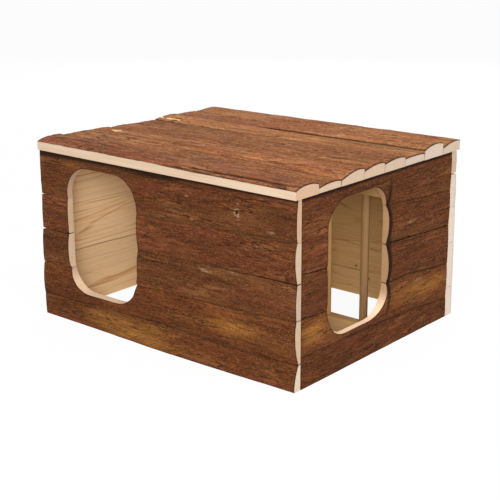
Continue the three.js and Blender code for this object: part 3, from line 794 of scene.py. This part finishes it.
dress(["rack_rail_bottom"], planed_wood("bottom_rail_wood", "x", (0.74, 0.66, 0.51)), rail_edge)
dress(["rack_rail_top"], planed_wood("top_rail_wood", "x", (0.48, 0.40, 0.27)), rail_edge)
# The dowels' wood is darkened with a painted shade of the house's inside, and one dowel, whose lit side shows
# past the doorway, has a painted light.
dowel_wood_in_painted_shade = planed_wood("dowel_wood_in_painted_shade", "z", (0.33, 0.26, 0.18))
dowel_wood_in_painted_light = planed_wood("dowel_wood_in_painted_light", "z", (0.78, 0.62, 0.42))
dowel_in_painted_light = "rack_bar_6"
for name in sorted(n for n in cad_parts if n.startswith("rack_bar_")):
    lowest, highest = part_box(name)
    middle = (lowest + highest) / 2
    radius = (highest.x - lowest.x) / 2
    number = int(name.split("_")[-1])
    points, faces = [], []
    for ring in range(bar_rings + 1):
        z = lowest.z + (highest.z - lowest.z) * ring / bar_rings
        worn = 1 - bar_wear * float(grown(np.array(ring / bar_lumps[0]), np.array(number * bar_lumps[1]), 71))
        spread = radius * worn * (bar_end_taper if ring in (0, bar_rings) else 1.0)
        for side in range(bar_sides):
            angle = 2 * math.pi * side / bar_sides
            points.append((middle.x + spread * math.cos(angle), middle.y + spread * math.sin(angle), z))
    for ring in range(bar_rings):
        for side in range(bar_sides):
            near, far = ring * bar_sides + side, ring * bar_sides + (side + 1) % bar_sides
            faces.append((near, far, far + bar_sides, near + bar_sides))
    faces += [tuple(range(bar_sides))[::-1], tuple(range(bar_rings * bar_sides, (bar_rings + 1) * bar_sides))]
    bar = new_piece(name.replace("bar", "dowel"), points, faces)
    shade_round(bar.data)
    bar.data.materials.append(dowel_wood_in_painted_light if name == dowel_in_painted_light else dowel_wood_in_painted_shade)
    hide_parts(name)
    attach(bar, "house")

# Nails. Thin steel brads, driven through the battens from inside, hold each slab to each batten that it
# crosses, and the rails to their battens. Only the flat heads show, a little proud of the wood.
head_radius, head_rise, head_sides = 0.0011, 0.0004, 12
head_profile = ((1.0, -0.5), (1.0, 0.5), (0.75, 1.0))
nail_stagger = 0.0035

steel, tree, shader = new_material("nail_steel")
dulled = node(tree, "TexNoise", {"Scale": 900.0, "Detail": 2.0}).outputs["Fac"]
worn_steel = tinted(tree, rise(tree, dulled, 0.4, 0.7), (0.42, 0.41, 0.40), (0.20, 0.17, 0.15))
tree.links.new(worn_steel, shader.inputs["Base Color"])
shader.inputs["Metallic"].default_value = 0.9
shader.inputs["Roughness"].default_value = 0.45


def nail_heads(name, body, heads):
    """One mesh of all the heads in a batten. Each is a place on the wood and the way that the head faces."""
    points, faces = [], []
    for place, facing in heads:
        side = facing.orthogonal().normalized()
        other = facing.cross(side)
        first = len(points)
        for radius, height in head_profile:
            for k in range(head_sides):
                angle = 2 * math.pi * k / head_sides
                spoke = side * math.cos(angle) + other * math.sin(angle)
                points.append(place + spoke * head_radius * radius + facing * head_rise * height)
        for ring in range(len(head_profile) - 1):
            for k in range(head_sides):
                near, far = first + ring * head_sides + k, first + ring * head_sides + (k + 1) % head_sides
                faces.append((near, far, far + head_sides, near + head_sides))
        faces.append(tuple(range(first, first + head_sides))[::-1])
        faces.append(tuple(range(len(points) - head_sides, len(points))))
    piece = new_piece(name, points, faces)
    piece.data.materials.append(steel)
    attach(piece, body)


def slab_middles(pieces, at):
    """The middle height of each slab that passes a place along its wall."""
    for piece, survey, log in pieces:
        if survey["stations"][0] < at < survey["stations"][-1]:
            yield float(np.interp(at, survey["stations"], (survey["low"] + survey["high"]) / 2))


for name in uprights:
    lowest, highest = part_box(name)
    middle = (lowest + highest) / 2
    heads = []
    for turn, wall in enumerate(w for w in walls if w in name.split("_")):
        along, out = walls[wall]
        inner = min(lowest.dot(out), highest.dot(out))
        slabs = [entry for slab, entry in wall_pieces.items() if slab.startswith(wall)]
        for height in slab_middles(slabs, middle.dot(along)):
            place = along * middle.dot(along) + out * inner
            heads.append((place + Vector((0, 0, height + (nail_stagger if turn else -nail_stagger))), -out))
    nail_heads(name + "_nails", "house", heads)
for name in ("rack_rail_bottom", "rack_rail_top"):
    lowest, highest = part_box(name)
    half_batten = (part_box("rack_batten_left")[1].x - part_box("rack_batten_left")[0].x) / 2
    level = (lowest.z + highest.z) / 2
    ends = (lowest.x + half_batten, highest.x - half_batten)
    nail_heads(name + "_nails", "house", [(Vector((x, lowest.y, level)), Vector((0, -1, 0))) for x in ends])

# Roof. Eight slabs of the same bark lie side by side along the house, and stand a little over the walls.
# Their bark is paler than the walls', worn and with a painted sheen, and the front slab shows its bare sawn
# edge as a pale band.
roof_bark_thickness = 0.0016
roof_bark = bark_finish("roof_bark", {
    "black": (0.040, 0.015, 0.006), "crack": (0.085, 0.029, 0.011), "dark": (0.130, 0.041, 0.0150),
    "middle": (0.350, 0.123, 0.043), "light": (0.680, 0.315, 0.130), "ruddy": (0.370, 0.113, 0.050),
    "olive": (0.350, 0.145, 0.045), "gold": (0.560, 0.270, 0.083), "fleck": (0.66, 0.37, 0.21),
    "flake": (0.55, 0.34, 0.20), "rim": (0.62, 0.36, 0.20),
}, roof_bark_thickness, long=1.6, wide=2.0, seam_reach=0.0035, edge_shade=0.75)
roof_along, roof_out = Vector((1, 0, 0)), Vector((0, 0, 1))
roof_chips = [(-0.172, -0.053, 0.020, 0.0075), (-0.176, 0.052, 0.026, 0.004)]
# Painted shade along the roof's front edge, where the bark turns down, and a darker line just behind it.
roof_shades = [(0.000, -0.1655, 0.500, 0.0070), (0.115, -0.1550, 0.110, 0.0022)]
roof_stains = [(-0.10, -0.10, 0.030, 0.007), (0.06, 0.06, 0.030, 0.006)]
roof_knots = [(-0.020, -0.060, 0.005, 0.004)]
front_edge_pared = ((-0.02, 0.06), (0.0010, 0.0))
roof_seam_shade_and_dirt = (0.8, 0.6, 0.5)
roof_edge_tone, chip_tone = (0.69, 0.72, 0.87), (1.05, 0.98, 0.90)
roof_end_tones = [(0.65, 0.60, 0.61)] + 3 * [(0.65, 0.67, 0.73)]
roof_end_tones += [(0.64, 0.68, 0.78), (0.66, 0.74, 0.90), (0.70, 0.79, 0.97), (0.67, 0.74, 0.86)]
roof_tones = [(0.80, 0.74, 0.82), (0.96, 0.95, 0.97), (1.05, 1.05, 1.04), (0.90, 0.88, 0.86)]
roof_tones += [(0.90, 0.90, 0.90), (1.06, 1.08, 1.05), (1.06, 1.08, 1.10), (1.04, 1.04, 1.05)]
roof_pith_wander = 0.003
roof_pieces = {}
slats = sorted(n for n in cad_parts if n.startswith("roof_slat_"))
for name in slats:
    number = int(name.split("_")[-1])
    survey = survey_slab(name, roof_along, roof_out)
    middle = (survey["low"].mean() + survey["high"].mean()) / 2
    log = {
        "number": 30 + number, "seed": 5000 + 100 * number,
        "pith_h": middle + roof_pith_wander * math.sin(4 * number),
        "pith_depth": pith_depths[number % len(pith_depths)],
        "low_seam": number > 1, "high_seam": number < len(slats), "doorway": None, "sill_painted_light_tone": None,
        "face_tone": roof_edge_tone if number == 1 else chip_tone, "end_tone": roof_end_tones[number - 1],
        "bark_tone": roof_tones[number - 1], "bark": roof_bark_thickness,
        "pared": front_edge_pared if number == 1 else None,
        "low_shade_and_dirt": roof_seam_shade_and_dirt, "high_shade_and_dirt": roof_seam_shade_and_dirt,
        "stains": roof_stains, "shades": roof_shades, "knots": roof_knots, "flakes": (), "chips": roof_chips,
    }
    piece = saw_slab(name.replace("slat", "bark_slat"), survey, log)
    wood_marks(piece, survey, log)
    piece.data.materials.append(roof_bark)
    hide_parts(name)
    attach(piece, "roof")
    roof_pieces[name] = (piece, survey, log)

# Roof battens. Three flat battens run across under the roof. The slabs are nailed to them, and they hang
# between the walls with play all round, so that the roof can't slide off but lifts straight up.
roof_battens = [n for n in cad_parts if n.startswith("roof_batten_")]
dress(roof_battens, planed_wood("roof_batten_wood", "y", (0.80, 0.72, 0.62)), batten_edge)
for name in roof_battens:
    lowest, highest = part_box(name)
    x = (lowest.x + highest.x) / 2
    middles = [y for y in slab_middles(roof_pieces.values(), x) if lowest.y < y < highest.y]
    nail_heads(name + "_nails", "roof", [(Vector((x, y, lowest.z)), Vector((0, 0, -1))) for y in middles])

# Floor, light and camera. A pale studio floor under soft lamps, with the camera where the photograph was
# taken from: right of the front corner, and a little above the roof.
floor_size = 20.0
under_walls = 0.0002
floor_white_share = 0.94
surround_strength = 0.60
camera_bearing, camera_elevation, camera_roll = (math.radians(a) for a in (40.12, 16.90, -0.27))
camera_distance = 1.43699
camera_aim = Vector((0.0035, -0.0011, 0.0838))
camera_lens, camera_sensor = 83.33, 36.0


def seen_ray(tree):
    """One for a ray from the camera, mirrored or let through too, and zero for the light's own rays."""
    rays = node(tree, "LightPath").outputs
    mirrored = maths(tree, "MAXIMUM", rays["Is Glossy Ray"], rays["Is Transmission Ray"])
    return maths(tree, "MAXIMUM", rays["Is Camera Ray"], mirrored)


half = floor_size / 2
corners = [(-half, -half, 0), (half, -half, 0), (half, half, 0), (-half, half, 0)]
floor = new_piece("floor", corners, [(0, 1, 2, 3)])
floor.location.z = -under_walls
floor_paint, tree, shader = new_material("floor_paint")
shader.inputs["Base Color"].default_value = (0.90, 0.90, 0.90, 1)
shader.inputs["Roughness"].default_value = 0.9
shader.inputs["Specular IOR Level"].default_value = 0.1
white = node(tree, "Emission", {"Color": (1, 1, 1, 1), "Strength": 1.0})
share = times(tree, seen_ray(tree), floor_white_share)
mixed = node(tree, "MixShader", {0: share, 1: shader.outputs[0], 2: white.outputs[0]})
tree.links.new(mixed.outputs[0], tree.nodes["Material Output"].inputs["Surface"])
floor.data.materials.append(floor_paint)

world = bpy.data.worlds.new("studio")
bpy.context.scene.world = world
world.use_nodes = True
tree = world.node_tree
dim = tree.nodes["Background"]
dim.inputs["Color"].default_value = (0.97, 0.985, 1.0, 1)
dim.inputs["Strength"].default_value = surround_strength
bright = node(tree, "Background", {"Color": (1, 1, 1, 1), "Strength": 1.0})
mixed = node(tree, "MixShader", {0: seen_ray(tree), 1: dim.outputs[0], 2: bright.outputs[0]})
tree.links.new(mixed.outputs[0], tree.nodes["World Output"].inputs["Surface"])

# Each lamp has a place, a width and a power in watts, and all of them face one point.
lamp_aim = Vector((0, 0, 0.1))
lamps = {
    "key_lamp": ((1.19, -1.77, 1.08), 0.8, 24.0),
    "low_lamp": ((1.45, -1.72, 0.76), 0.6, 10.0),
    "side_lamp": ((1.95, -0.35, 0.90), 1.2, 6.0),
    "top_lamp": ((0.70, -0.80, 2.10), 1.4, 17.0),
    "back_lamp": ((-1.30, 1.75, 0.80), 1.2, 12.0),
}
for name, (place, size, power) in lamps.items():
    lamp = bpy.data.lights.new(name, "AREA")
    lamp.shape, lamp.size, lamp.energy = "SQUARE", size, power
    stand = bpy.data.objects.new(name, lamp)
    bpy.context.scene.collection.objects.link(stand)
    stand.location = place
    stand.rotation_euler = (Vector(place) - lamp_aim).to_track_quat("Z", "Y").to_euler()

toward_camera = Vector((
    math.sin(camera_bearing) * math.cos(camera_elevation),
    -math.cos(camera_bearing) * math.cos(camera_elevation),
    math.sin(camera_elevation),
))
camera = bpy.data.objects.new("camera", bpy.data.cameras.new("camera"))
bpy.context.scene.collection.objects.link(camera)
bpy.context.scene.camera = camera
camera.data.lens, camera.data.sensor_width = camera_lens, camera_sensor
camera.location = camera_aim + toward_camera * camera_distance
level = toward_camera.to_track_quat("Z", "Y")
camera.rotation_euler = (level @ Quaternion((0, 0, 1), camera_roll)).to_euler()
bpy.context.scene.view_settings.view_transform = "Standard"
